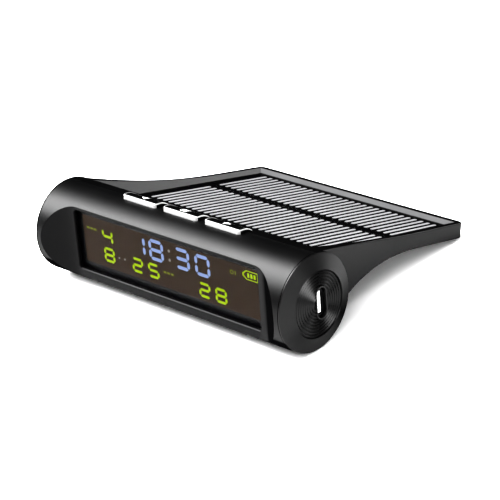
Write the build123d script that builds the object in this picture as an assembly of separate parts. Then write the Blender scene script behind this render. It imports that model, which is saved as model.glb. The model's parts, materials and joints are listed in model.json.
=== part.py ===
"""Solar dashboard display of a tyre pressure monitor, built as separate pieces, in millimetres.

The row frame has +X along the display, +Z up and the user at -Y. The origin is on the surface that the unit
stands on, under the middle of its box. Three tilted frames share the barrel's axis:
  panel  the wing's top and the solar panel lie level in it,
  face   the display looks along its -Y,
  key    the buttons travel along its Z.
"""
import os
from math import cos, hypot, radians, sin, sqrt

from build123d import *

# ---- barrel and wing ----
BARREL_R = 15.0
BARREL_HALF = 51.3            # where the barrel's tube ends and the end caps begin
WALL = 1.8
BORE_R = BARREL_R - WALL
COVER_T = 1.6                 # bottom cover and wing side walls
WING_HALF = 43.9
WING_REAR = 79.5
RIM_TOP = 10.9
RIM_LEVEL_Y = 58.0            # the rim's top runs level behind this line
WING_UNDER = 5.9
UNDER_LEVEL_Y = 57.0          # the underside runs level behind this line
RAMP = radians(37)            # slope of the underside where it leaves the barrel
FLARE_Y = 44.0                # the wing's sides start to flare in front of this line
FLARE_R = 130.0
CORNER_R = 2.5
EDGE_R = 0.4                  # rounding of the wing's outer edges

# ---- bottom cover ----
COVER_FRONT = -2.0
COVER_REAR = 41.0
HOOK_R = 12.5                 # inner radius of the hooks that hold the cover's front edge
HOOK_X = (-32.0, -3.0, 26.0)
HOOK_W = 6.0
COVER_POSTS = [(-37.0, 24.0), (37.0, 24.0), (-12.0, 28.0), (12.0, 28.0)]
POST_SEAT = 1.0               # height of the screw heads' seat above the cover's inside
POST_TOP = 2.2                # height of the cover's own posts above its inside
POST_R = 3.1

# ---- solar tray ----
DECK = 9.55                   # top of the solar panel's cover
TRAY_HALF = 40.5
TRAY_REAR = 75.1
SIDE_SLOPE = 1.07             # run per rise of the rim's inner faces at both sides
REAR_SLOPE = 1.3              # run per rise of the rim's inner face at the rear
PANEL_HALF = 40.3
PANEL_FRONT = 15.4
PANEL_REAR = 75.0
COVER_GLASS_T = 0.35
CELL_T = 0.15
SOLAR_BOARD_T = 1.1
TAPE_T = 0.8
TRAY_FLOOR = DECK - COVER_GLASS_T - CELL_T - SOLAR_BOARD_T - TAPE_T
CAVITY_TOP = 5.8
CELL_ROWS = ((20.1, 47.0), (51.5, 74.1))
CELL_COUNT = 29
CELL_W = 1.2
CELL_SPAN = 36.65             # the outer strips lie at this distance from the middle
WIRE_HOLE = (24.5, 17.5, 29.5, 21.5)

# ---- stance ----
PANEL_TILT = -15.0
FACE_TILT = -3.0
KEY_TILT = -10.0
PAD_T = 0.8
PAD_FLAT = 14.4               # depth of the pad's seat below the barrel's axis
FOOT_X = 28.0
FOOT_Y = 72.0
FOOT_R = 3.0
AXIS_H = PAD_FLAT + PAD_T
FRONT_Y = -BARREL_R
REAR_Y = WING_REAR * cos(radians(PANEL_TILT)) - RIM_TOP * sin(radians(PANEL_TILT))
BASE = Pos(0, -(FRONT_Y + REAR_Y) / 2, AXIS_H)
PANEL = BASE * Rot(PANEL_TILT, 0, 0)
FACE = BASE * Rot(FACE_TILT, 0, 0)
KEY = BASE * Rot(KEY_TILT, 0, 0)

# ---- display, as depths in front of the barrel's axis ----
FACE_DEPTH = 9.35
MOUTH_HALF = 11.7             # half the height of the bezel's round-ended outline
MOUTH_X = 49.7
BEZEL_T = 1.35
GAP = 0.1
GLASS_GAP = 0.05              # air between the window and the display
WINDOW = (-39.2, -8.9, 39.2, 10.7)
WINDOW_EDGE = 0.3             # chamfer round the window's opening
PANE_T = 0.6
LCD_T = 2.2
GUIDE_T = 2.8
LCD = (-41.5, -9.9, 41.5, 10.7)
GUIDE = (-40.3, -8.4, 40.3, 10.2)
PANE_BACK = FACE_DEPTH - BEZEL_T - PANE_T
LCD_BACK = PANE_BACK - LCD_T
GUIDE_BACK = LCD_BACK - GUIDE_T
HOLDER_BACK = GUIDE_BACK - 1.0

# ---- boards ----
BOARD_FRONT = -1.6            # depth of the main board's front side
BOARD_T = 1.2
BOARD_BACK = BOARD_FRONT - BOARD_T
BOARD = (-46.0, -11.3, 46.0, 5.7)
POSTS = [(x, v) for x in (-42.8, 42.8) for v in (-8.4, 3.6)]
KEY_BOARD_Z = 7.4
KEY_BOARD_T = 1.0
KEY_BOARD = (-32.0, -2.2, 32.0, 4.4)
KEY_POSTS = (-29.4, 29.4)
KEY_POST_Y = 1.1

# ---- buttons ----
KEY_X = {"left": -17.6, "middle": 0.0, "right": 17.6}
KEY_HALF = (7.45, 2.97)
KEY_CORNER_R = 1.2
KEY_FRONT_TOP = 15.9
KEY_MID_TOP = 16.03
KEY_REAR_TOP = 14.67
KEY_GAP = 0.2
KEY_SINK = 0.15               # the black top lies this far below the trim round it
TRIM_W = 0.3                  # width of the trim at the sides and the rear
TRIM_T = 0.35                 # height of the trim at the sides and the rear
TRIM_FRONT_W = 0.55           # width of the trim at the front, where it is as high as the key
TRIM_EDGE_R = 0.25
FLANGE_GROW = 0.5
FLANGE_Z = (11.75, 12.35)
STEM_Z = 10.9
SWITCH_Y = 0.9

# ---- end caps ----
CAP_X = 51.6
CAP_RISE = 2.0
CAP_DISC_R = 10.27
CAP_T = 1.6
SPIGOT_R = BORE_R - 0.1
SPIGOT_X = 49.2
CAP_BAND = 0.35               # width of the cylindrical band between the joint and the cone
RINGS = 9
RING_PITCH = 0.95
RING_DEPTH = 0.35
SLOT = (9.5, 3.8)
SLOT_Y = 1.3                  # the slot lies this far behind the barrel's axis
LIP = 0.4

# ---- power ----
PORT_X = (44.8, 52.6)
PORT_BORE_X = 46.0            # the shell is closed behind this
PORT_SIZE = (8.2, 3.1)
TONGUE = (6.7, 1.2)
TONGUE_X = 52.4
CELL_R = 5.0
BATTERY_X = (-19.0, 25.0)
BATTERY_AT = (14.2, 0.35)
BATTERY_WIRES = [(-22.4, 8.9, 5.1), (-22.4, 12.4, 5.0), (-22.4, 15.0, 2.2), (-22.4, 15.0, -2.4)]
SOLAR_WIRES = [(27, 19.5, TRAY_FLOOR + TAPE_T), (27, 19.5, 3.6), (27, 14.5, 1.0), (27, 4.2, 1.0)]


def box(x0, y0, z0, x1, y1, z1):
    """A block between two corners."""
    return Pos((x0 + x1) / 2, (y0 + y1) / 2, (z0 + z1) / 2) * Box(abs(x1 - x0), abs(y1 - y0), abs(z1 - z0))


def face_box(rect, front, back):
    """A block in the face frame: rect is (left, low, right, high), front and back are depths."""
    return box(rect[0], -front, rect[1], rect[2], -back, rect[3])


def rod(radius, x0, x1):
    """A cylinder along X."""
    return Pos((x0 + x1) / 2, 0, 0) * Rot(0, 90, 0) * Cylinder(radius, abs(x1 - x0))


def rod_y(x, z, radius, y0, y1):
    """A cylinder along Y."""
    return Pos(x, (y0 + y1) / 2, z) * Rot(90, 0, 0) * Cylinder(radius, abs(y1 - y0))


def rod_z(x, y, radius, z0, z1):
    """A cylinder along Z."""
    return Pos(x, y, (z0 + z1) / 2) * Cylinder(radius, abs(z1 - z0))


def along_x(edges, half):
    """A closed YZ outline carried along X to both sides."""
    return extrude(Plane.YZ * make_face(edges), half, both=True)


def under_radius(inset):
    """Radius of the underside's long arc, which a straight ramp joins to the barrel."""
    return (UNDER_LEVEL_Y * sin(RAMP) - BARREL_R - WING_UNDER * cos(RAMP)) / (1 - cos(RAMP)) + inset


def underside(inset):
    """Points of the wing's underside, inset inwards: barrel tangent, ramp end, arc middle, level start."""
    radius = BARREL_R - inset
    arc_r = under_radius(inset)
    centre_z = WING_UNDER + inset - arc_r
    tangent = (radius * sin(RAMP), -radius * cos(RAMP))
    on_arc = [(UNDER_LEVEL_Y - arc_r * sin(a), centre_z + arc_r * cos(a)) for a in (RAMP, RAMP / 2, 0)]
    return tangent, *on_arc


def rim_side(inset):
    """Points of the rim's top seen from the side, inset inwards: barrel tangent, arc middle, level start."""
    radius = BARREL_R - inset
    rim = RIM_TOP - inset
    arc_r = (RIM_LEVEL_Y**2 + rim**2 - radius**2) / (2 * (radius - rim))
    crown_y = radius * RIM_LEVEL_Y / (radius + arc_r)
    stops = (crown_y, (crown_y + RIM_LEVEL_Y) / 2, RIM_LEVEL_Y)
    return [(y, rim + arc_r - sqrt(arc_r**2 - (RIM_LEVEL_Y - y)**2)) for y in stops]


def wing_plan(inset, rear):
    """The wing's outline from above: straight sides that flare out to the barrel's ends."""
    half = WING_HALF - inset
    flare_r = FLARE_R + inset
    centre_x = half + flare_r
    end_x = BARREL_HALF - inset
    end_y = FLARE_Y - sqrt(flare_r**2 - (centre_x - end_x)**2)
    mid_y = (FLARE_Y + end_y) / 2
    mid_x = centre_x - sqrt(flare_r**2 - (FLARE_Y - mid_y)**2)
    side = [
        Line((end_x, -BARREL_R), (end_x, end_y)),
        ThreePointArc((end_x, end_y), (mid_x, mid_y), (half, FLARE_Y)),
        Line((half, FLARE_Y), (half, rear)),
    ]
    other = [mirror(edge, Plane.YZ) for edge in side]
    ends = [Line((-half, rear), (half, rear)), Line((-end_x, -BARREL_R), (end_x, -BARREL_R))]
    return make_face(side + other + ends)


def wing(inset):
    """The wing as a solid that reaches into the barrel, inset all round."""
    tangent, ramp_end, arc_mid, level = underside(inset)
    crown, rim_mid, rim_level = rim_side(inset)
    rear_top = (WING_REAR, RIM_TOP - inset)
    outline = [
        ThreePointArc(crown, rim_mid, rim_level),
        Line(rim_level, rear_top),
        Line(rear_top, (WING_REAR, level[1])),
        Line((WING_REAR, level[1]), level),
        ThreePointArc(level, arc_mid, ramp_end),
        Line(ramp_end, tangent),
        Line(tangent, (0, -BARREL_R / 2)),
        Line((0, -BARREL_R / 2), (0, BARREL_R / 2)),
        Line((0, BARREL_R / 2), crown),
    ]
    body = along_x(outline, BARREL_HALF)
    plan = extrude(Pos(0, 0, -BARREL_R) * wing_plan(inset, WING_REAR - inset), 2 * BARREL_R)
    if not inset:
        rear_edges = plan.edges().filter_by(Axis.Z).group_by(Axis.Y)[-1]
        plan = fillet(rear_edges, CORNER_R)
    return body & plan


def outer_wing():
    """The wing with its outer edges rounded."""
    body = wing(0)
    boxes = [(edge, edge.bounding_box()) for edge in body.edges()]
    outline = [(edge, size) for edge, size in boxes
               if abs(edge.center().X) > TRAY_HALF or edge.center().Y > WING_REAR - 1]
    rim = [edge for edge, size in outline if size.min.Z > RIM_TOP - 0.01 and size.min.Y > 1]
    low = [edge for edge, size in outline if size.max.Z < WING_UNDER + 0.01 and size.max.Y > FLARE_Y - 1]
    return body.fillet(EDGE_R, rim).fillet(EDGE_R, low)


def stadium(half_height, half_width, front, back):
    """A round-ended prism in the face frame, between two depths."""
    outline = SlotOverall(2 * half_width, 2 * half_height)
    return extrude(Plane.XZ.offset(back) * outline, front - back)


def ramp_curve(shift):
    """The bezel's front line seen from above: flat, then rising at each end to meet the barrel's surface."""
    start = MOUTH_X - MOUTH_HALF
    runs = [share * MOUTH_HALF for share in (0, 0.25, 0.5, 0.75, 1.12)]
    points = [(start + run, -hypot(FACE_DEPTH, run) + shift) for run in runs]
    rise = points[-1][0] - start
    slope = rise / hypot(FACE_DEPTH, rise)
    right = Spline(points, tangents=[(1, 0), (1, -slope)])
    return points[-1], [mirror(right, Plane.YZ), Line((-start, points[0][1]), points[0]), right]


def wing_tray():
    """The space above the solar panel: it widens upwards, and stops at the barrel's crown."""
    height = 2 * BARREL_R
    outlines = []
    for rise in (0, height):
        half = TRAY_HALF + SIDE_SLOPE * rise
        rear = TRAY_REAR + REAR_SLOPE * rise
        corners = [(-half, -BARREL_R), (half, -BARREL_R), (half, rear), (-half, rear)]
        outlines.append(Pos(0, 0, DECK + rise) * make_face(Polyline(*corners, close=True)))
    return loft(outlines) - rod(BARREL_R, -2 * BARREL_HALF, 2 * BARREL_HALF)


def cover_zone(inset):
    """The part of the underside that the bottom cover closes."""
    low = -2 * BARREL_R
    plan = extrude(Pos(0, 0, low) * wing_plan(COVER_T + inset, WING_REAR), CAVITY_TOP - low)
    return plan & box(-60, COVER_FRONT + inset, low, 60, COVER_REAR - inset, CAVITY_TOP)


def key_prism(x, grow, z0, z1):
    """A button's round-cornered outline, grown all round, between two heights."""
    plan = RectangleRounded(2 * (KEY_HALF[0] + grow), 2 * (KEY_HALF[1] + grow), KEY_CORNER_R + grow)
    return extrude(Pos(x, 0, z0) * plan, z1 - z0)


def main_housing():
    """Barrel and wing in one moulding, open below, in front and at both ends."""
    body = PANEL * (rod(BARREL_R, -BARREL_HALF, BARREL_HALF) + outer_wing())
    body -= PANEL * rod(BORE_R, -60, 60)
    body -= PANEL * cover_zone(0)
    body -= PANEL * wing_tray()
    body -= PANEL * box(-PANEL_HALF, PANEL_FRONT, TRAY_FLOOR, PANEL_HALF, PANEL_REAR, RIM_TOP)
    body -= PANEL * box(*WIRE_HOLE[:2], 0, *WIRE_HOLE[2:], RIM_TOP)
    body -= FACE * stadium(MOUTH_HALF + GAP, MOUTH_X + GAP, 2 * BARREL_R, 4)
    for x in KEY_X.values():
        body -= KEY * key_prism(x, KEY_GAP, 10, 20)
    for x, y in COVER_POSTS:
        meet = cover_inner(y) + POST_TOP + 0.1
        body += PANEL * (rod_z(x, y, 2.2, meet, CAVITY_TOP + 0.2) - rod_z(x, y, 0.8, meet, 5.6))
    for x in KEY_POSTS:
        post = rod_z(x, KEY_POST_Y, 2.0, KEY_BOARD_Z + KEY_BOARD_T, BORE_R + 0.2)
        body += KEY * (post - rod_z(x, KEY_POST_Y, 0.7, 0, 12.0))
    return body


def cover_inner(y):
    """Height of the bottom cover's inside on its long arc, in the panel frame."""
    arc_r = under_radius(COVER_T)
    return WING_UNDER + COVER_T - arc_r + sqrt(arc_r**2 - (UNDER_LEVEL_Y - y)**2)


def bottom_cover():
    """Curved plate that closes the barrel and the front of the wing from below."""
    outer = rod(BARREL_R, -BARREL_HALF, BARREL_HALF) + outer_wing()
    inner = rod(BARREL_R - COVER_T, -60, 60) + wing(COVER_T)
    plate = (outer - inner) & cover_zone(GAP)
    hook = rod(BORE_R - 0.08, -34, 34) - rod(HOOK_R, -60, 60)
    root = rod(BARREL_R - COVER_T + 0.3, -34, 34) - rod(HOOK_R, -60, 60)
    for x in HOOK_X:
        plate += hook & box(x, -3.4, -BARREL_R, x + HOOK_W, 1.0, 0)
        plate += root & box(x, COVER_FRONT + 0.3, -BARREL_R, x + HOOK_W, 1.0, 0)
    for x, y in COVER_POSTS:
        inner_z = cover_inner(y)
        plate += rod_z(x, y, POST_R, inner_z - 3, inner_z + POST_TOP) & outer
        plate -= rod_z(x, y, 1.1, -20, 8)
        plate -= rod_z(x, y, 2.1, -20, inner_z + POST_SEAT)
    plate = PANEL * plate
    return plate - BASE * box(-42.2, -3.7, -BARREL_R - 1, 42.2, 3.7, -PAD_FLAT)


def front_bezel():
    """Frame round the window, with concave ends that rise to the barrel's surface."""
    front_end, front = ramp_curve(0)
    back_end, back = ramp_curve(BEZEL_T)
    ends = [Line(front_end, back_end), Line((-front_end[0], front_end[1]), (-back_end[0], back_end[1]))]
    shell = extrude(make_face(front + back + ends), BARREL_R, both=True)
    shell &= stadium(MOUTH_HALF, MOUTH_X, 2 * BARREL_R, 5)
    shell &= rod(BARREL_R - 0.02, -60, 60)
    width, height = WINDOW[2] - WINDOW[0], WINDOW[3] - WINDOW[1]
    middle = Pos(0, (WINDOW[1] + WINDOW[3]) / 2)
    hole = extrude(Plane.XZ.offset(4) * (middle * RectangleRounded(width, height, 1.0)), 8)
    mouth = Plane.XZ.offset(FACE_DEPTH - WINDOW_EDGE) * (middle * RectangleRounded(width, height, 1.0))
    grown = 2 * WINDOW_EDGE
    lip = Plane.XZ.offset(FACE_DEPTH + 0.01) * (middle * RectangleRounded(width + grown, height + grown, 1.3))
    return FACE * (shell - hole - loft([mouth, lip]))


def display_pieces():
    """Everything behind the bezel that belongs to the display."""
    holder = face_box((-44.6, -10.7, 44.6, 11.2), PANE_BACK - 0.05, HOLDER_BACK) & rod(BORE_R - 0.15, -60, 60)
    holder -= face_box((LCD[0] - 0.1, LCD[1] - 0.1, LCD[2] + 0.1, LCD[3] + 0.1), 20, LCD_BACK)
    holder -= face_box((-41.9, GUIDE[1] - 0.1, 41.9, GUIDE[3] + 0.1), LCD_BACK, GUIDE_BACK)
    holder -= face_box((-38, -9.9, 38, -8.7), 20, 0)
    holder -= face_box((-20, -6, 20, 8), 20, 0)
    for x, v in POSTS:
        holder += rod_y(x, v, 1.9, -HOLDER_BACK, -BOARD_FRONT)
        holder -= rod_y(x, v, 0.75, -BOARD_FRONT - 2.2, -BOARD_FRONT)
    pins = Compound([box(x - 0.2, -LCD_BACK, -9.5, x + 0.2, -BOARD_FRONT, -9.1) for x in range(-36, 37, 4)])
    lamps = Compound([face_box((x - 0.6, v - 1.4, x + 0.6, v + 1.4), LCD_BACK - 0.8, GUIDE_BACK + 0.6)
                      for x in (-41.2, 41.2) for v in (-4, 5)])
    return {
        "display_window": FACE * face_box((-41.4, -9.9, 41.4, 11.2), PANE_BACK + PANE_T, PANE_BACK),
        "lcd_glass": FACE * face_box(LCD, PANE_BACK - GLASS_GAP, LCD_BACK),
        "light_guide": FACE * face_box(GUIDE, LCD_BACK, GUIDE_BACK),
        "lcd_holder": FACE * holder,
        "lcd_pins": FACE * pins,
        "backlight_lamps": FACE * lamps,
    }


def end_cap():
    """Right end cap without its slot: a cone, a grooved disc and a spigot that fits the bore."""
    disc_x = CAP_X + CAP_RISE
    points = [(SPIGOT_X, SPIGOT_R - 1.4), (SPIGOT_X, SPIGOT_R), (BARREL_HALF + 0.05, SPIGOT_R),
              (BARREL_HALF + 0.05, BARREL_R - 0.3), (CAP_X - 0.1, BARREL_R - 0.3), (CAP_X, BARREL_R),
              (CAP_X + CAP_BAND - 0.1, BARREL_R), (CAP_X + CAP_BAND, BARREL_R - 0.15), (disc_x, CAP_DISC_R)]
    for i in range(RINGS):
        rim = CAP_DISC_R - 0.15 - i * RING_PITCH
        points += [(disc_x - RING_DEPTH, rim), (disc_x - 0.05, rim - RING_PITCH * 0.55)]
    core = CAP_DISC_R - 0.15 - RINGS * RING_PITCH
    points += [(disc_x - RING_DEPTH, core), (disc_x - RING_DEPTH, 0), (disc_x - CAP_T - 0.4, 0),
               (disc_x - CAP_T - 0.4, CAP_DISC_R - 0.8), (CAP_X - 0.2, SPIGOT_R - 1.4)]
    profile = make_face(Polyline(*[(x, r) for x, r in points], close=True))
    return revolve(profile, Axis.X)


def right_cap():
    """End cap with the port's slot, whose lip stands among the rings."""
    disc_x = CAP_X + CAP_RISE
    slot_face = Plane.YZ * (Rot(0, 0, 90) * SlotOverall(*SLOT))
    lip_face = Plane.YZ * (Rot(0, 0, 90) * SlotOverall(SLOT[0] + 2 * LIP, SLOT[1] + 2 * LIP))
    lip = extrude(Pos(disc_x - 1.0, SLOT_Y, 0) * lip_face, 1.0)
    slot = extrude(Pos(disc_x - 6, SLOT_Y, 0) * slot_face, 10)
    return FACE * (end_cap() + lip - slot)


def port_pieces():
    """Charging port: a steel shell let into the main board's edge, with a white tongue inside."""
    size_v, size_d = PORT_SIZE
    ring = Rot(0, 0, 90) * RectangleRounded(size_v, size_d, 1.2)
    bore = Rot(0, 0, 90) * RectangleRounded(size_v - 0.6, size_d - 0.6, 0.9)
    length = PORT_X[1] - PORT_X[0]
    shell = extrude(Pos(PORT_X[0], SLOT_Y, 0) * (Plane.YZ * ring), length)
    shell -= extrude(Pos(PORT_BORE_X, SLOT_Y, 0) * (Plane.YZ * bore), length)
    front = -BOARD_FRONT
    for side in (-1, 1):
        edge = side * size_v / 2
        shell += box(PORT_X[0] + 0.3, front - 0.3, edge - 0.3 * side, BOARD[2] - 0.1, front, edge + 1.2 * side)
    half_w, half_t = TONGUE[0] / 2, TONGUE[1] / 2
    tongue = box(PORT_BORE_X, SLOT_Y - half_t, -half_w, TONGUE_X, SLOT_Y + half_t, half_w)
    return {"port_shell": FACE * shell, "port_tongue": FACE * tongue}


def key_body(x):
    """A button's raised part: a round-cornered block with a curved top that falls to the rear."""
    y = KEY_HALF[1]
    low = FLANGE_Z[1]
    outline = [
        Line((-y, low), (-y, KEY_FRONT_TOP)),
        ThreePointArc((-y, KEY_FRONT_TOP), (0, KEY_MID_TOP), (y, KEY_REAR_TOP)),
        Line((y, KEY_REAR_TOP), (y, low)),
        Line((y, low), (-y, low)),
    ]
    return (Pos(x, 0, 0) * along_x(outline, KEY_HALF[0])) & key_prism(x, 0, low, 20)


def button_pieces(side, x):
    """One button: a black key with its flange and stem, and the bright trim on the key's front and edge."""
    full = key_body(x)
    behind_front = box(x - 10, TRIM_FRONT_W - KEY_HALF[1], 0, x + 10, 10, 20)
    below_trim = (Pos(0, 0, -TRIM_T) * full) & behind_front
    inside_trim = key_prism(x, -TRIM_W, 0, 20) & behind_front
    top_edges = [edge for edge in full.edges() if edge.bounding_box().min.Z > KEY_REAR_TOP - 0.1]
    trim = fillet(top_edges, TRIM_EDGE_R) - below_trim - inside_trim
    key = below_trim + ((Pos(0, 0, -KEY_SINK) * full) & inside_trim)
    key += key_prism(x, FLANGE_GROW, *FLANGE_Z)
    key += box(x - 1.2, SWITCH_Y - 1.0, STEM_Z, x + 1.2, SWITCH_Y + 1.0, FLANGE_Z[0])
    plunger = rod_z(x, SWITCH_Y, 0.8, KEY_BOARD_Z + KEY_BOARD_T + 1.2, STEM_Z)
    return {
        f"button_{side}": KEY * key,
        f"button_{side}_trim": KEY * trim,
        f"switch_plunger_{side}": KEY * plunger,
    }


def key_board_pieces():
    """Button board under the crown, with three tact switches and two screws."""
    top = KEY_BOARD_Z + KEY_BOARD_T
    board = box(KEY_BOARD[0], KEY_BOARD[1], KEY_BOARD_Z, KEY_BOARD[2], KEY_BOARD[3], top)
    switches = []
    for x in KEY_X.values():
        body = box(x - 3, SWITCH_Y - 1.75, top, x + 3, SWITCH_Y + 1.75, top + 1.8)
        switches.append(body - rod_z(x, SWITCH_Y, 0.95, top + 0.6, top + 3))
    screws = []
    for x in KEY_POSTS:
        board -= rod_z(x, KEY_POST_Y, 0.9, 0, 20)
        head = rod_z(x, KEY_POST_Y, 1.6, KEY_BOARD_Z - 1.0, KEY_BOARD_Z)
        screws.append(head + rod_z(x, KEY_POST_Y, 0.68, KEY_BOARD_Z, 11.5))
    return {
        "button_board": KEY * board,
        "switch_bodies": KEY * Compound(switches),
        "button_board_screws": KEY * Compound(screws),
    }


def helix_coil(x0, x1, y, z, radius, wire, turns):
    """A wound wire along X."""
    path = Helix((x1 - x0) / turns, x1 - x0, radius)
    start = Plane(origin=path @ 0, z_dir=path % 0)
    return Pos(x0, y, z) * Rot(0, 90, 0) * sweep(start * Circle(wire / 2), path=path, is_frenet=True)


def board_pieces():
    """Main board with the electronics on its rear side."""
    rear = -BOARD_BACK
    board = face_box(BOARD, BOARD_FRONT, BOARD_BACK)
    notch = PORT_SIZE[0] / 2 + 0.1
    board -= box(PORT_X[0] - 0.1, -5, -notch, BOARD[2] + 1, 5, notch)
    screws = []
    for x, v in POSTS:
        board -= rod_y(x, v, 0.95, -5, 5)
        screws.append(rod_y(x, v, 1.7, rear, rear + 1.1) + rod_y(x, v, 0.72, -BOARD_FRONT - 2.0, rear))
    chip = box(-5, rear, -8, 5, rear + 1.4, 2)
    radio = box(-40.3, rear, -10, -27.3, rear + 0.8, 0.6)
    can = box(-38.8, rear + 0.8, -8.8, -29.8, rear + 2.6, -1.2)
    coil = helix_coil(-40.0, -29.0, rear + 2.9, 3.5, 2.3, 0.6, 8)
    crystal = box(8, rear, -10, 18.5, rear + 3.5, -6)
    buzzer = rod_y(34, -4, 4.5, rear, rear + 5) - rod_y(34, -4, 0.8, rear + 3, rear + 6)
    sensor = Pos(0, rear + 1.6, 0.5) * rod(1.6, 9, 18)
    capacitors = Compound([rod_y(x, v, 2.5, rear, rear + 5.4) for x, v in ((22.5, 3), (23.5, -7.5))])
    resistors = Compound([box(x, rear, v, x + 1.6, rear + 0.5, v + 0.8)
                          for x in (-18, -15, -12, -9) for v in (-9.5, -7, -4.5)])
    socket = box(-25.4, rear, 1.3, -19.4, rear + 4.4, 5.3) - box(-24.6, rear + 1, 2.1, -20.2, rear + 6, 4.5)
    plug = box(-24.5, rear + 1.1, 2.2, -20.3, rear + 5.6, 4.4)
    header = box(-4, rear, 3.4, 4, rear + 2, 5.4)
    for x in (-3, -1, 1, 3):
        header += box(x - 0.25, rear + 0.2, 5.4, x + 0.25, rear + 0.7, 6.95)
    pieces = {
        "main_board": board, "main_board_screws": Compound(screws), "controller_chip": chip,
        "radio_board": radio, "radio_can": can, "antenna_coil": coil, "crystal": crystal, "buzzer": buzzer,
        "motion_sensor": sensor, "capacitors": capacitors, "resistors": resistors,
        "battery_socket": socket, "battery_plug": plug, "board_header": header,
    }
    return {name: FACE * piece for name, piece in pieces.items()}


def wire_pair(points, gap, diameter, bend):
    """Two parallel wires along one route, a little apart along X."""
    wires = []
    for shift in (-gap / 2, gap / 2):
        path = FilletPolyline(*[(x + shift, y, z) for x, y, z in points], radius=bend)
        start = Plane(origin=path @ 0, z_dir=path % 0)
        wires.append(sweep(start * Circle(diameter / 2), path=path))
    return Compound(wires)


def power_pieces():
    """Battery with its pad and leads, and the leads of the solar panel, in the panel frame."""
    y, z = BATTERY_AT
    cell = rod(CELL_R, *BATTERY_X) + rod(1.6, BATTERY_X[1], BATTERY_X[1] + 0.8)
    pad_top = z + CELL_R + 0.02
    leads = wire_pair(BATTERY_WIRES, 1.4, 0.8, 1.6)
    solar = wire_pair(SOLAR_WIRES, 1.6, 0.8, 2.2)
    tab = box(-23.4, y - 0.8, -3.4, BATTERY_X[0], y + 2.0, -2.4)
    return {
        "battery_cell": PANEL * (Pos(0, y, z) * cell),
        "battery_pad": PANEL * box(-16, y - 3, pad_top, 16, y + 3, CAVITY_TOP),
        "battery_leads": PANEL * leads,
        "battery_tab": PANEL * tab,
        "solar_leads": PANEL * solar,
    }


def solar_pieces():
    """Solar panel, from the tape in the tray up to the clear cover."""
    tape_top = TRAY_FLOOR + TAPE_T
    board_top = tape_top + SOLAR_BOARD_T
    cell_top = board_top + CELL_T
    inset = 0.15
    half, front, rear = PANEL_HALF - inset, PANEL_FRONT + inset, PANEL_REAR - inset
    wire_gap = box(*WIRE_HOLE[:2], 0, *WIRE_HOLE[2:], tape_top)
    pitch = 2 * CELL_SPAN / (CELL_COUNT - 1)
    strips = []
    for y0, y1 in CELL_ROWS:
        strip = extrude(Rot(0, 0, 90) * SlotOverall(y1 - y0, CELL_W), CELL_T)
        strips += [Pos(-CELL_SPAN + i * pitch, (y0 + y1) / 2, board_top) * strip for i in range(CELL_COUNT)]
    return {
        "solar_tape": PANEL * (box(-half, front, TRAY_FLOOR, half, rear, tape_top) - wire_gap),
        "solar_board": PANEL * box(-half, front, tape_top, half, rear, board_top),
        "solar_cells": PANEL * Compound(strips),
        "solar_cover": PANEL * box(-half, front, cell_top, half, rear, DECK),
    }


def underside_pieces():
    """Screws of the bottom cover, the anti-slip pad and the rear feet."""
    screws = []
    for x, y in COVER_POSTS:
        seat = cover_inner(y) + POST_SEAT
        screws.append(PANEL * (rod_z(x, y, 1.9, seat - 1.2, seat) + rod_z(x, y, 0.78, seat, 5.4)))
    shoe = rod_z(0, FOOT_Y, FOOT_R, WING_UNDER - 6, WING_UNDER)
    floor = box(-60, -60, -20, 60, 120, 0)
    feet = [(PANEL * (Pos(x, 0, 0) * shoe)) - floor for x in (-FOOT_X, FOOT_X)]
    return {
        "bottom_cover_screws": Compound(screws),
        "anti_slip_pad": BASE * box(-42, -3.5, -AXIS_H, 42, 3.5, -PAD_FLAT),
        "rear_feet": Compound(feet),
    }


def build():
    """All nodes by name."""
    pieces = {
        "main_housing": main_housing(),
        "bottom_cover": bottom_cover(),
        "front_bezel": front_bezel(),
        "end_cap_right": right_cap(),
        "end_cap_left": BASE * Rot(0, 0, 180) * end_cap(),
    }
    pieces |= display_pieces()
    pieces |= port_pieces()
    for side, x in KEY_X.items():
        pieces |= button_pieces(side, x)
    pieces |= key_board_pieces()
    pieces |= board_pieces()
    pieces |= power_pieces()
    pieces |= solar_pieces()
    pieces |= underside_pieces()
    return pieces


os.makedirs("parts", exist_ok=True)
for node, piece in build().items():
    export_step(piece, f"parts/{node}.step")
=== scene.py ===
import bpy
import bmesh
import json
import math
from mathutils import Matrix, Vector


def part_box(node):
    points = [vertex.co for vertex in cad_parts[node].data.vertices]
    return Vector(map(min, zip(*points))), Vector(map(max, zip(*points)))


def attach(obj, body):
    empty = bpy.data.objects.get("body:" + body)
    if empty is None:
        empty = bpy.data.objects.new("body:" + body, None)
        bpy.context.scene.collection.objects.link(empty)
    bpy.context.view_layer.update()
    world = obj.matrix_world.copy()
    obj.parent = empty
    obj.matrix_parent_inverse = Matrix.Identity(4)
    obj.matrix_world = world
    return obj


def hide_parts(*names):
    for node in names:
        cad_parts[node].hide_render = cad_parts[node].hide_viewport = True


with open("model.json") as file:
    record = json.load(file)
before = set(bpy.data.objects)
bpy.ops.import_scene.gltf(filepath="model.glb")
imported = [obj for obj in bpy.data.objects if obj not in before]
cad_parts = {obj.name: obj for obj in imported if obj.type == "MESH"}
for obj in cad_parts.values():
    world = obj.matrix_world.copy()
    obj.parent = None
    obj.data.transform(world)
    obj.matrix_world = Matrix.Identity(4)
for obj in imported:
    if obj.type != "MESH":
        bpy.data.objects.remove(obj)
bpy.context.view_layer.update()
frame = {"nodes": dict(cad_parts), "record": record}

MM = 0.001                    # shapes are written in millimetres, places of lights in metres
UNIT = "unit"                 # the body that stands still

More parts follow.
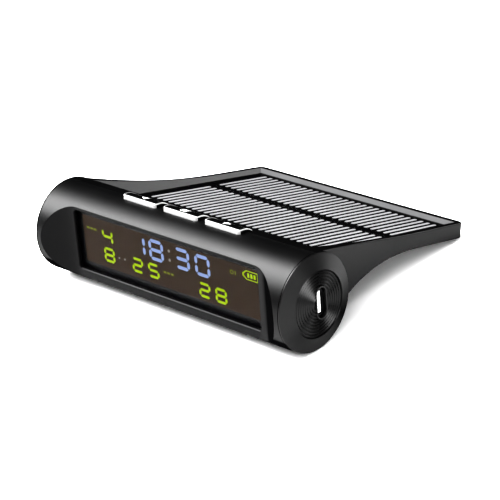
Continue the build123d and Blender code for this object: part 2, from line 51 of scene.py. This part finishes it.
# ---- the frame's own places ----
NODE_SLOT = {part["node"]: part["material_slot"] for part in frame["record"]["subparts"]}
AXIS = (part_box("end_cap_right")[0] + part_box("end_cap_right")[1]) / 2     # a point on the barrel's axis
FACE_TILT = math.radians(-3)
KEY_TILT = math.radians(-10)
PANEL_TILT = math.radians(-15)


def tilted(angle):
    """Matrix of a frame that shares the barrel's axis and is tilted about it."""
    return Matrix.Translation((0, AXIS.y, AXIS.z)) @ Matrix.Rotation(angle, 4, "X")


FACE = tilted(FACE_TILT)
KEY = tilted(KEY_TILT)
PANEL = tilted(PANEL_TILT)


# ---------------------------------------------------------------- materials
NOISE_ROUGHNESS = 0.55
MOULDING_CLOUDS = 60          # scale of the slow drift in a moulding's colour and gloss
CLEAR_CLOUDS = 40
LIT_CLOUDS = 900
METAL_STREAKS = 900
GLOSS_SPREAD = 0.04           # how far a moulding's roughness drifts to either side
GRAIN_STRENGTH = 0.25
BLEND_BAND = (0.3, 0.7)       # noise levels between which two colours mix
SHINE_BAND = (0.42, 0.7)      # facing values over which the shine fades out at low angles


def new_material(name, color, roughness, **sockets):
    """A material with a Principled shader; further sockets are given by name, with _ for a space."""
    material = bpy.data.materials.new(name)
    material.use_nodes = True
    shader = material.node_tree.nodes["Principled BSDF"]
    shader.inputs["Base Color"].default_value = (*color, 1)
    shader.inputs["Roughness"].default_value = roughness
    for key, value in sockets.items():
        shader.inputs[key.replace("_", " ")].default_value = value
    return material, material.node_tree, shader


def noise(tree, scale, detail=3.0):
    """Noise in the object's own coordinates."""
    where = tree.nodes.new("ShaderNodeTexCoord")
    node = tree.nodes.new("ShaderNodeTexNoise")
    node.inputs["Scale"].default_value = scale
    node.inputs["Detail"].default_value = detail
    node.inputs["Roughness"].default_value = NOISE_ROUGHNESS
    tree.links.new(where.outputs["Object"], node.inputs["Vector"])
    return node


def vary(tree, source, target, low, high):
    """Lets a 0 to 1 source drive a value socket between low and high."""
    node = tree.nodes.new("ShaderNodeMapRange")
    node.inputs["To Min"].default_value = low
    node.inputs["To Max"].default_value = high
    tree.links.new(source, node.inputs["Value"])
    tree.links.new(node.outputs["Result"], target)


def blend_color(tree, source, target, low, high):
    """Lets a 0 to 1 source mix two colours into a colour socket."""
    node = tree.nodes.new("ShaderNodeValToRGB")
    for stop, position, color in zip(node.color_ramp.elements, BLEND_BAND, (low, high)):
        stop.position = position
        stop.color = (*color, 1)
    tree.links.new(source, node.inputs["Fac"])
    tree.links.new(node.outputs["Color"], target)


def bump(tree, shader, source, distance):
    """Raises the surface by a 0 to 1 source."""
    node = tree.nodes.new("ShaderNodeBump")
    node.inputs["Strength"].default_value = GRAIN_STRENGTH
    node.inputs["Distance"].default_value = distance
    tree.links.new(source, node.inputs["Height"])
    tree.links.new(node.outputs["Normal"], shader.inputs["Normal"])


def soft_grazing(tree, shader, specular):
    """Takes the shine away where the surface is seen at a low angle, as a fine grain does."""
    facing = tree.nodes.new("ShaderNodeLayerWeight")
    facing.inputs["Blend"].default_value = 0.5
    node = tree.nodes.new("ShaderNodeMapRange")
    node.inputs["From Min"].default_value, node.inputs["From Max"].default_value = SHINE_BAND
    node.inputs["To Min"].default_value = specular
    node.inputs["To Max"].default_value = 0.0
    tree.links.new(facing.outputs["Facing"], node.inputs["Value"])
    tree.links.new(node.outputs["Result"], shader.inputs["Specular IOR Level"])


def moulded(name, color, rough, grain=6000, depth=0.00001, specular=0.5, grazing=True):
    """Moulded plastic: fine grain, uneven gloss and a slight drift of colour. It can lose its low-angle shine."""
    material, tree, shader = new_material(name, color, rough, Specular_IOR_Level=specular)
    if not grazing:
        soft_grazing(tree, shader, specular)
    cloud = noise(tree, MOULDING_CLOUDS)
    vary(tree, cloud.outputs["Fac"], shader.inputs["Roughness"], rough - GLOSS_SPREAD, rough + GLOSS_SPREAD)
    lighter = tuple(min(1, c * 1.25 + 0.0003) for c in color)
    blend_color(tree, cloud.outputs["Fac"], shader.inputs["Base Color"], color, lighter)
    fine = noise(tree, grain, 2)
    bump(tree, shader, fine.outputs["Fac"], depth)
    return material


def metal(name, color, rough, metallic=1.0):
    """Plated or drawn metal with faint streaks; satin plating has a lower share of metal."""
    material, tree, shader = new_material(name, color, rough, Metallic=metallic)
    streak = noise(tree, METAL_STREAKS, 4)
    vary(tree, streak.outputs["Fac"], shader.inputs["Roughness"], rough * 0.7, rough * 1.4)
    return material


MATERIALS = {
    "housing_plastic": moulded("housing_plastic", (0.002, 0.002, 0.0021), 0.36, specular=0.17, grazing=False),
    "cover_plastic": moulded("cover_plastic", (0.0025, 0.0025, 0.0026), 0.5, 2500, 0.00004, specular=0.12),
    "bezel_plastic": moulded("bezel_plastic", (0.0018, 0.0018, 0.002), 0.34, specular=0.1, grazing=False),
    "cap_plastic": moulded("cap_plastic", (0.0022, 0.0022, 0.0023), 0.3, specular=0.25, grazing=False),
    "holder_plastic": moulded("holder_plastic", (0.006, 0.006, 0.006), 0.5),
    "component_black": moulded("component_black", (0.02, 0.02, 0.02), 0.45),
    "key_plastic": moulded("key_plastic", (0.0015, 0.0015, 0.0015), 0.25, specular=0.08, grazing=False),
    "plunger_plastic": moulded("plunger_plastic", (0.1, 0.1, 0.1), 0.4),
    # lighter grey than the housing: painted sheen for the facing on the tray's rear wall
    "rim_painted_sheen": moulded("rim_painted_sheen", (0.066, 0.066, 0.0675), 0.55, specular=0.12, grazing=False),
    "rubber": moulded("rubber", (0.012, 0.012, 0.012), 0.75, 1800, 0.00005),
    "foam": moulded("foam", (0.02, 0.02, 0.02), 0.9, 1500, 0.0001),
    "wire": moulded("wire", (0.4, 0.03, 0.02), 0.45),
    "connector_white": moulded("connector_white", (0.75, 0.72, 0.62), 0.4),
    "port_white": moulded("port_white", (0.9, 0.9, 0.9), 0.35),
    "white_acrylic": moulded("white_acrylic", (0.8, 0.82, 0.8), 0.25),
    "circuit_board": moulded("circuit_board", (0.01, 0.11, 0.035), 0.35, 1200),
    "battery_wrap": moulded("battery_wrap", (0.015, 0.09, 0.33), 0.3),
    "solar_black": moulded("solar_black", (0.001, 0.001, 0.0012), 0.4, specular=0.02, grazing=False),
    "solar_cell": moulded("solar_cell", (0.21, 0.21, 0.215), 0.45, 3000, specular=0.2),
    "display_glass": moulded("display_glass", (0.0015, 0.0015, 0.0018), 0.3, specular=0.1),
    "steel": metal("steel", (0.6, 0.6, 0.6), 0.3),
    "port_steel": metal("port_steel", (0.03, 0.03, 0.032), 0.35),
    "component_can": metal("component_can", (0.7, 0.7, 0.72), 0.3),
    "pin_metal": metal("pin_metal", (0.75, 0.72, 0.6), 0.3),
    "copper": metal("copper", (0.75, 0.36, 0.16), 0.3),
    "trim_chrome": metal("trim_chrome", (0.4, 0.4, 0.4), 0.42, metallic=0.35),
}


def clear(name, rough, opacity, specular=0.5):
    """Thin clear plastic: nearly all light passes, and the surface shines."""
    material, tree, shader = new_material(name, (0.002, 0.002, 0.002), rough, Specular_IOR_Level=specular)
    shader.inputs["Alpha"].default_value = opacity
    cloud = noise(tree, CLEAR_CLOUDS)
    vary(tree, cloud.outputs["Fac"], shader.inputs["Roughness"], rough * 0.8, rough * 1.3)
    return material


def glowing(name, color, strength):
    """A lit part of the display, with a little unevenness in its brightness."""
    material, tree, shader = new_material(name, (0.001, 0.001, 0.001), 0.5, Specular_IOR_Level=0.0)
    shader.inputs["Emission Color"].default_value = (*color, 1)
    cloud = noise(tree, LIT_CLOUDS)
    vary(tree, cloud.outputs["Fac"], shader.inputs["Emission Strength"], strength * 0.88, strength * 1.12)
    return material


MATERIALS["clear_window"] = clear("clear_window", 0.08, 0.08)
MATERIALS["solar_clear"] = clear("solar_clear", 0.25, 0.04, 0.1)
MATERIALS["lit_ground"] = glowing("lit_ground", (0.078, 0.05, 0.032), 1.0)
MATERIALS["lit_blue"] = glowing("lit_blue", (0.45, 0.57, 0.9), 1.0)
MATERIALS["lit_green"] = glowing("lit_green", (0.62, 0.84, 0.015), 1.0)
MATERIALS["lit_pale"] = glowing("lit_pale", (0.42, 0.38, 0.33), 0.9)
MATERIALS["lit_dim"] = glowing("lit_dim", (0.33, 0.37, 0.04), 0.9)
MATERIALS["key_mark"] = moulded("key_mark", (0.85, 0.85, 0.85), 0.4)


def paint(obj, slot):
    """Gives an object the material of that name."""
    obj.data.materials.clear()
    obj.data.materials.append(MATERIALS[slot])


for node, obj in frame["nodes"].items():
    paint(obj, NODE_SLOT[node])


# ---------------------------------------------------------------- mesh helpers
def add_piece(name, shape, matrix, material, body, stands_for=()):
    """Turns a bmesh in millimetres into a piece placed by matrix, riding a body."""
    mesh = bpy.data.meshes.new(name)
    bmesh.ops.scale(shape, vec=(MM, MM, MM), verts=shape.verts)
    bmesh.ops.recalc_face_normals(shape, faces=shape.faces)
    shape.to_mesh(mesh)
    shape.free()
    obj = bpy.data.objects.new(name, mesh)
    obj.matrix_world = matrix
    bpy.context.scene.collection.objects.link(obj)
    paint(obj, material)
    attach(obj, body)
    if stands_for:
        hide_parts(*stands_for)


def add_prism(shape, outline, low, high, place):
    """Adds an outline of (a, b) points carried between two levels; place(a, b, level) gives the point."""
    rings = [[shape.verts.new(place(a, b, level)) for a, b in outline] for level in (low, high)]
    shape.faces.new(list(reversed(rings[0])))
    shape.faces.new(rings[1])
    count = len(outline)
    for i in range(count):
        j = (i + 1) % count
        shape.faces.new((rings[0][i], rings[0][j], rings[1][j], rings[1][i]))


def rounded(x0, y0, x1, y1, radius, steps=6):
    """Outline of a rectangle with rounded corners."""
    points = []
    for cx, cy, start in ((x1 - radius, y1 - radius, 0), (x0 + radius, y1 - radius, 90),
                          (x0 + radius, y0 + radius, 180), (x1 - radius, y0 + radius, 270)):
        for i in range(steps + 1):
            a = math.radians(start + 90 * i / steps)
            points.append((cx + radius * math.cos(a), cy + radius * math.sin(a)))
    return points


def on_face(x, v, depth):
    """A point of the display's frame: x along it, v up it, depth in front of the barrel's axis."""
    return (x, -depth, v)


def on_panel(x, y, z):
    """A point of the solar panel's frame: x along it, y to the rear, z above the barrel's axis."""
    return (x, y, z)


# ---------------------------------------------------------------- display
CELL_BACK = 5.2               # depths in front of the barrel's axis
CELL_FRONT = 7.15
GROUND_TOP = 7.18
LIT_TOP = 7.22
CELL_EDGES = (-41.5, -9.9, 41.5, 10.7)        # left, bottom, right, top
GROUND_EDGES = (-37.6, -6.9, 37.6, 8.9)
SEGMENTS = {"0": "abcdef", "1": "bc", "2": "abged", "3": "abgcd", "4": "fgbc", "5": "afgcd", "8": "abcdefg"}
SEGMENT_GAP = 0.14            # gap at each end of a bar, as a share of its stroke
TIME = (("1", -16.2), ("8", -8.3), ("3", 2.8), ("0", 11.3))
TIME_LOW, TIME_HIGH, TIME_WIDTH, TIME_STROKE = 1.05, 8.1, 6.3, 1.15
READINGS = (("2", -16.5, -5.1), ("5", -9.5, -5.1), ("2", 12.2, -5.8), ("8", 19.0, -5.8),
            ("4", -29.2, 1.3), ("8", -29.1, -4.9))
READING_HEIGHT, READING_WIDTH, READING_STROKE = 4.95, 4.8, 0.85
COLON = ((0.5, 5.9), (0.5, 2.9))
COLON_HALF = 0.5
DOTS = ((-22.3, -2.2), (-19.8, -2.1))
DOT_HALF = 0.35
DASHES = ((-36.0, 4.9), (-34.4, 4.9), (-32.8, 4.9), (-2.7, -1.75), (-1.1, -1.75), (0.5, -1.75))
DASH_LENGTH = 1.1
SIGN_RING = (26.6, 5.9, 0.75, 0.3)            # middle, radius, stroke
SIGN_BAR = (27.9, 5.2, 28.3, 6.6)


def segment_outlines(digit, x, low, width, height, stroke):
    """Outlines of a seven-segment digit's bars, with pointed ends and small gaps."""
    half = stroke / 2
    left, right = x + half, x + width - half
    bottom, top = low + half, low + height - half
    middle = (bottom + top) / 2
    gap = stroke * SEGMENT_GAP
    bars = {"a": (left, top, right, top), "g": (left, middle, right, middle), "d": (left, bottom, right, bottom),
            "f": (left, middle, left, top), "b": (right, middle, right, top),
            "e": (left, bottom, left, middle), "c": (right, bottom, right, middle)}
    outlines = []
    for bar in SEGMENTS[digit]:
        x0, y0, x1, y1 = bars[bar]
        if y0 == y1:
            x0, x1 = x0 + gap, x1 - gap
            outlines.append([(x0, y0), (x0 + half, y0 - half), (x1 - half, y0 - half), (x1, y0),
                             (x1 - half, y0 + half), (x0 + half, y0 + half)])
        else:
            y0, y1 = y0 + gap, y1 - gap
            outlines.append([(x0, y0), (x0 + half, y0 + half), (x0 + half, y1 - half), (x0, y1),
                             (x0 - half, y1 - half), (x0 - half, y0 + half)])
    return outlines


def square(x, v, half, radius):
    """Outline of a small rounded square."""
    return rounded(x - half, v - half, x + half, v + half, radius)


def add_display():
    """The display cell, its lit ground and everything that shows on it."""
    cell = bmesh.new()
    add_prism(cell, rounded(*CELL_EDGES, 0.3), CELL_BACK, CELL_FRONT, on_face)
    add_piece("display_cell", cell, FACE, "display_glass", UNIT, ("lcd_glass",))
    ground = bmesh.new()
    add_prism(ground, rounded(*GROUND_EDGES, 0.2), CELL_FRONT, GROUND_TOP, on_face)
    add_piece("display_ground", ground, FACE, "lit_ground", UNIT)

    time_height = TIME_HIGH - TIME_LOW
    time_bars = [outline for digit, x in TIME
                 for outline in segment_outlines(digit, x, TIME_LOW, TIME_WIDTH, time_height, TIME_STROKE)]
    reading_bars = [outline for digit, x, v in READINGS
                    for outline in segment_outlines(digit, x, v, READING_WIDTH, READING_HEIGHT, READING_STROKE)]
    dashes = [rounded(x, v - DOT_HALF, x + DASH_LENGTH, v + DOT_HALF, 0.1) for x, v in DASHES]
    sign = ring_outlines(*SIGN_RING) + [rounded(*SIGN_BAR, 0.15)]
    add_lit("time_digits", time_bars, "lit_blue")
    add_lit("time_colon", [square(x, v, COLON_HALF, 0.45) for x, v in COLON], "lit_pale")
    add_lit("reading_digits", reading_bars, "lit_green")
    add_lit("battery_icon", battery_outlines(), "lit_green")
    add_lit("small_dots", [square(x, v, DOT_HALF, 0.3) for x, v in DOTS], "lit_pale")
    add_lit("small_labels", dashes + sign, "lit_dim")


def add_lit(name, outlines, material):
    """Lit marks on the display's ground."""
    shape = bmesh.new()
    for outline in outlines:
        add_prism(shape, outline, GROUND_TOP, LIT_TOP, on_face)
    add_piece(name, shape, FACE, material, UNIT)


def ring_outlines(x, v, radius, stroke, parts=16):
    """A ring as a row of four-sided outlines."""
    outlines = []
    for i in range(parts):
        a, b = (2 * math.pi * k / parts for k in (i, i + 1))
        outer = [(x + radius * math.cos(t), v + radius * math.sin(t)) for t in (a, b)]
        inner = [(x + (radius - stroke) * math.cos(t), v + (radius - stroke) * math.sin(t)) for t in (b, a)]
        outlines.append(outer + inner)
    return outlines


def battery_outlines():
    """A battery symbol: three sides of a frame, sloping shoulders, a nub and three bars."""
    x0, v0, x1, v1, line = 32.4, 5.0, 37.1, 8.0, 0.3
    frame_bars = [(x0, v0, x1, v0 + line), (x0, v1 - line, x1, v1), (x1 - line, v0 + line, x1, v1 - line)]
    shoulder = [(31.1, 6.0), (32.5, v0), (32.9, v0 + 0.1), (31.6, 6.2)]
    other_shoulder = [(x, v0 + v1 - v) for x, v in reversed(shoulder)]
    nub = [(31.0, 5.95), (31.5, 5.95), (31.5, 7.05), (31.0, 7.05)]
    charge = [rounded(x, v0 + 0.8, x + 0.8, v1 - 0.8, 0.1, 2) for x in (32.9, 34.15, 35.4)]
    return [rounded(*bar, 0.05, 2) for bar in frame_bars] + [shoulder, other_shoulder, nub] + charge


# ---------------------------------------------------------------- marks on the keys
KEY_X = {"left": -17.6, "middle": 0.0, "right": 17.6}
KEY_HALF_Y = 2.97
KEY_FRONT_TOP = 15.75         # heights of a key's top above the barrel's axis
KEY_MIDDLE_TOP = 15.88
KEY_REAR_TOP = 14.52
MARK_RISE = 0.05
MARK_SINK = 0.02
ARROW = ((-1.3, -0.3), (0.9, -1.6), (0.9, 1.0))
MARK_BARS = (-1.3, -0.3, 0.7)                 # places of the middle key's bars along the key's depth
MARK_BAR_HALF_LENGTH = 1.3
MARK_BAR_HALF = 0.2


def key_top(y):
    """Height of a key's curved top, by the parabola through its three known points."""
    share = y / KEY_HALF_Y
    slope = (KEY_REAR_TOP - KEY_FRONT_TOP) / 2
    sag = (KEY_REAR_TOP + KEY_FRONT_TOP) / 2 - KEY_MIDDLE_TOP
    return KEY_MIDDLE_TOP + share * slope + share**2 * sag


def add_key_mark(side, outlines):
    """Marks that follow a key's curved top; outlines are in the key's own plan."""
    shape = bmesh.new()
    for outline in outlines:
        top = [shape.verts.new((x, y, 1)) for x, y in outline]
        shape.faces.new(top)
    bmesh.ops.triangulate(shape, faces=shape.faces)
    bmesh.ops.subdivide_edges(shape, edges=shape.edges, cuts=3, use_grid_fill=True)
    faces = list(shape.faces)
    lower = bmesh.ops.duplicate(shape, geom=faces)
    copy = {v for v in lower["geom"] if isinstance(v, bmesh.types.BMVert)}
    rims = [edge for edge in shape.edges if edge.is_boundary and edge.verts[0] not in copy]
    twin = {source: lower["vert_map"][source] for edge in rims for source in edge.verts}
    for edge in rims:
        a, b = edge.verts
        shape.faces.new((a, b, twin[b], twin[a]))
    for vert in shape.verts:
        vert.co.z = key_top(vert.co.y) + (-MARK_SINK if vert in copy else MARK_RISE)
    matrix = KEY @ Matrix.Translation((KEY_X[side] * MM, 0, 0))
    add_piece(f"mark_{side}", shape, matrix, "key_mark", f"{side}_button")


# ---------------------------------------------------------------- solar panel's cover
DECK = 9.55                   # top of the cover, above the barrel's axis
COVER_BOTTOM = 9.25
COVER_HALF = 40.15
COVER_FRONT = 15.55
COVER_REAR = 74.85


def add_panel_cover():
    """Clear cover with a softened upper edge, a little above the cell strips."""
    shape = bmesh.new()
    outline = rounded(-COVER_HALF, COVER_FRONT, COVER_HALF, COVER_REAR, 0.6)
    add_prism(shape, outline, COVER_BOTTOM, DECK, on_panel)
    edges = [edge for edge in shape.edges if all(vert.co.z > (COVER_BOTTOM + DECK) / 2 for vert in edge.verts)]
    bmesh.ops.bevel(shape, geom=edges, offset=0.08, segments=2, affect="EDGES", clamp_overlap=True)
    add_piece("panel_cover", shape, PANEL, "solar_clear", UNIT, ("solar_cover",))


# ---------------------------------------------------------------- the tray's rear wall, with a painted sheen
TRAY_HALF = 40.5
TRAY_REAR = 75.1
SIDE_SLOPE = 1.07             # run per rise of the tray's side walls
REAR_SLOPE = 1.3              # run per rise of its rear wall
WALL_LOW = DECK + 0.1
WALL_HIGH = 10.84             # a little below the rim's top
WALL_GAP = 0.02
WALL_T = 0.04


def add_rear_wall_sheen():
    """A thin grey facing on the sloping wall behind the solar panel: painted sheen in place of the black wall's
    reflection of the lights.
    """
    shape = bmesh.new()
    normal = Vector((0, -1, REAR_SLOPE)).normalized()
    corners = []
    for z in (WALL_LOW, WALL_HIGH):
        half = TRAY_HALF + SIDE_SLOPE * (z - DECK)
        y = TRAY_REAR + REAR_SLOPE * (z - DECK)
        corners += [Vector((-half, y, z)), Vector((half, y, z))]
    outline = [corners[0], corners[1], corners[3], corners[2]]
    back, front = ([shape.verts.new(point + normal * shift) for point in outline]
                   for shift in (WALL_GAP, WALL_GAP + WALL_T))
    shape.faces.new(back)
    shape.faces.new(front)
    for i in range(4):
        j = (i + 1) % 4
        shape.faces.new((back[i], back[j], front[j], front[i]))
    # the facing carries the rear wall's painted sheen
    add_piece("rear_wall_painted_sheen", shape, PANEL, "rim_painted_sheen", UNIT)


add_display()
add_rear_wall_sheen()
add_key_mark("left", [ARROW])
add_key_mark("right", [[(-x, y) for x, y in reversed(ARROW)]])
add_key_mark("middle", [rounded(-MARK_BAR_HALF_LENGTH, y - MARK_BAR_HALF, MARK_BAR_HALF_LENGTH, y + MARK_BAR_HALF,
                                0.15, 2) for y in MARK_BARS])
add_panel_cover()


# ---------------------------------------------------------------- camera, lights, floor
FLOOR_HALF = 3.0
WORLD_STRENGTH = 0.06
LIGHT_AIM = (0, 0, 0.01)
LIGHTS = {                    # place, size, power
    "key": ((-0.60, -0.28, 0.66), (0.5, 0.8), 39.0),
    "top": ((-0.48, -0.10, 0.86), (0.55, 0.35), 9.0),
    "fill": ((0.5, -0.9, 1.0), (0.9, 0.9), 28.0),
    "back": ((0.1, 0.95, 0.5), (0.5, 0.35), 10.0),
    "side": ((0.97, 0.1, 0.32), (0.4, 0.3), 9.0),
}


def add_camera():
    """Camera above the unit's right front corner, a little rolled."""
    azimuth, elevation, roll = math.radians(45.86), math.radians(26.25), math.radians(-6.785)
    distance = 0.61
    target = Vector((3.57 * MM, AXIS.y + 28.24 * MM, 5.45 * MM))
    back = Vector((math.sin(azimuth) * math.cos(elevation), -math.cos(azimuth) * math.cos(elevation),
                   math.sin(elevation)))
    across = Vector((0, 0, 1)).cross(back).normalized()
    up = back.cross(across)
    right = across * math.cos(roll) + up * math.sin(roll)
    top = -across * math.sin(roll) + up * math.cos(roll)
    camera = bpy.data.objects.new("camera", bpy.data.cameras.new("camera"))
    turn = Matrix((right, top, back)).transposed().to_4x4()
    camera.matrix_world = Matrix.Translation(target + back * distance) @ turn
    camera.data.sensor_width = 36
    camera.data.lens = 140.55
    camera.data.shift_x = -0.023
    camera.data.shift_y = 0.0106
    camera.data.clip_start = 0.01
    bpy.context.scene.collection.objects.link(camera)
    bpy.context.scene.camera = camera


def area_light(name, place, size, power):
    """A soft box at place, aimed at the unit."""
    light = bpy.data.lights.new(name, "AREA")
    light.shape = "RECTANGLE"
    light.size, light.size_y = size
    light.energy = power
    obj = bpy.data.objects.new(name, light)
    obj.location = place
    obj.rotation_euler = (Vector(LIGHT_AIM) - Vector(place)).to_track_quat("-Z", "Y").to_euler()
    bpy.context.scene.collection.objects.link(obj)


def add_stage():
    """A plain pale floor, a faint pale surround and the lights."""
    mesh = bpy.data.meshes.new("floor")
    corners = [(x * FLOOR_HALF, y * FLOOR_HALF, 0) for x, y in ((-1, -1), (1, -1), (1, 1), (-1, 1))]
    mesh.from_pydata(corners, [], [(0, 1, 2, 3)])
    floor = bpy.data.objects.new("floor", mesh)
    mesh.materials.append(new_material("floor", (0.9, 0.9, 0.9), 0.9, Specular_IOR_Level=0.0)[0])
    bpy.context.scene.collection.objects.link(floor)
    world = bpy.data.worlds.new("world")
    world.use_nodes = True
    surround = world.node_tree.nodes["Background"]
    surround.inputs["Color"].default_value = (1, 1, 1, 1)
    surround.inputs["Strength"].default_value = WORLD_STRENGTH
    bpy.context.scene.world = world
    for name, (place, size, power) in LIGHTS.items():
        area_light(name, place, size, power)


add_camera()
add_stage()
bpy.context.scene.view_settings.view_transform = "Standard"
bpy.context.scene.view_settings.gamma = 0.72      # deepens the dark tones
